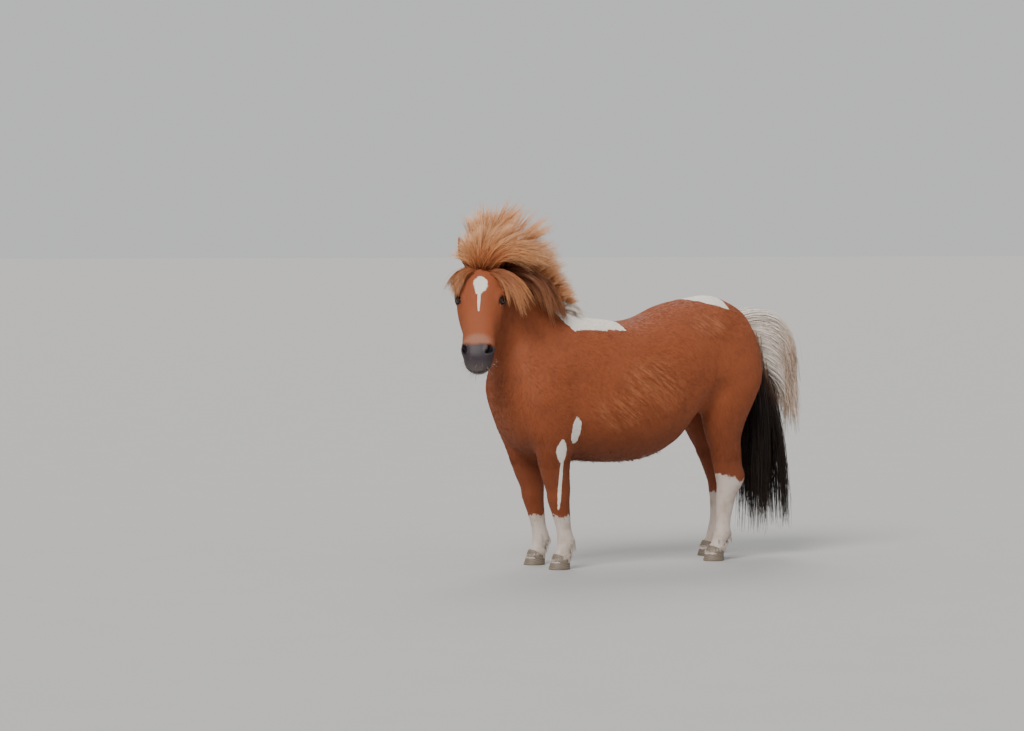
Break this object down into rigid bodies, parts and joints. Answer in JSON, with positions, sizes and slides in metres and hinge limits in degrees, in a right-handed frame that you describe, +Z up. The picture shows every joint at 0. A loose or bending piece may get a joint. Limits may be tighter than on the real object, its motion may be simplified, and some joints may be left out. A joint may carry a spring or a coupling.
{
  "type": "animal_model.pony",
  "caption": "Life-size standing Shetland pony model, head turned to its left, blond mane and dark-tipped white tail blown by the wind",
  "frame": {"origin": "on the ground, under the middle of the outline", "axes": "+Z up, -Y the way the body faces, +X the left side of the body"},
  "size_m": [0.4932, 1.591, 1.3743],
  "materials": {
    "coat": "short chestnut fur",
    "socks": "short white fur",
    "mane": "long red-blond hair",
    "white_hair": "long white hair",
    "tail": "long hair, white above and black-brown below",
    "hoof": "satin horn",
    "eye": "wet gloss"
  },
  "bodies": {
    "root": {"torso": "coat", "neck": "coat", "head": "coat", "ear_left": "coat", "ear_right": "coat", "foreleg_left": "socks", "foreleg_right": "socks", "hindleg_left": "socks", "hindleg_right": "socks", "hoof_front_left": "hoof", "hoof_front_right": "hoof", "hoof_hind_left": "hoof", "hoof_hind_right": "hoof", "eye_left": "eye", "eye_right": "eye", "mane": "mane", "forelock": "mane", "mane_tuft": "white_hair", "tail": "tail"}
  },
  "joints": []
}
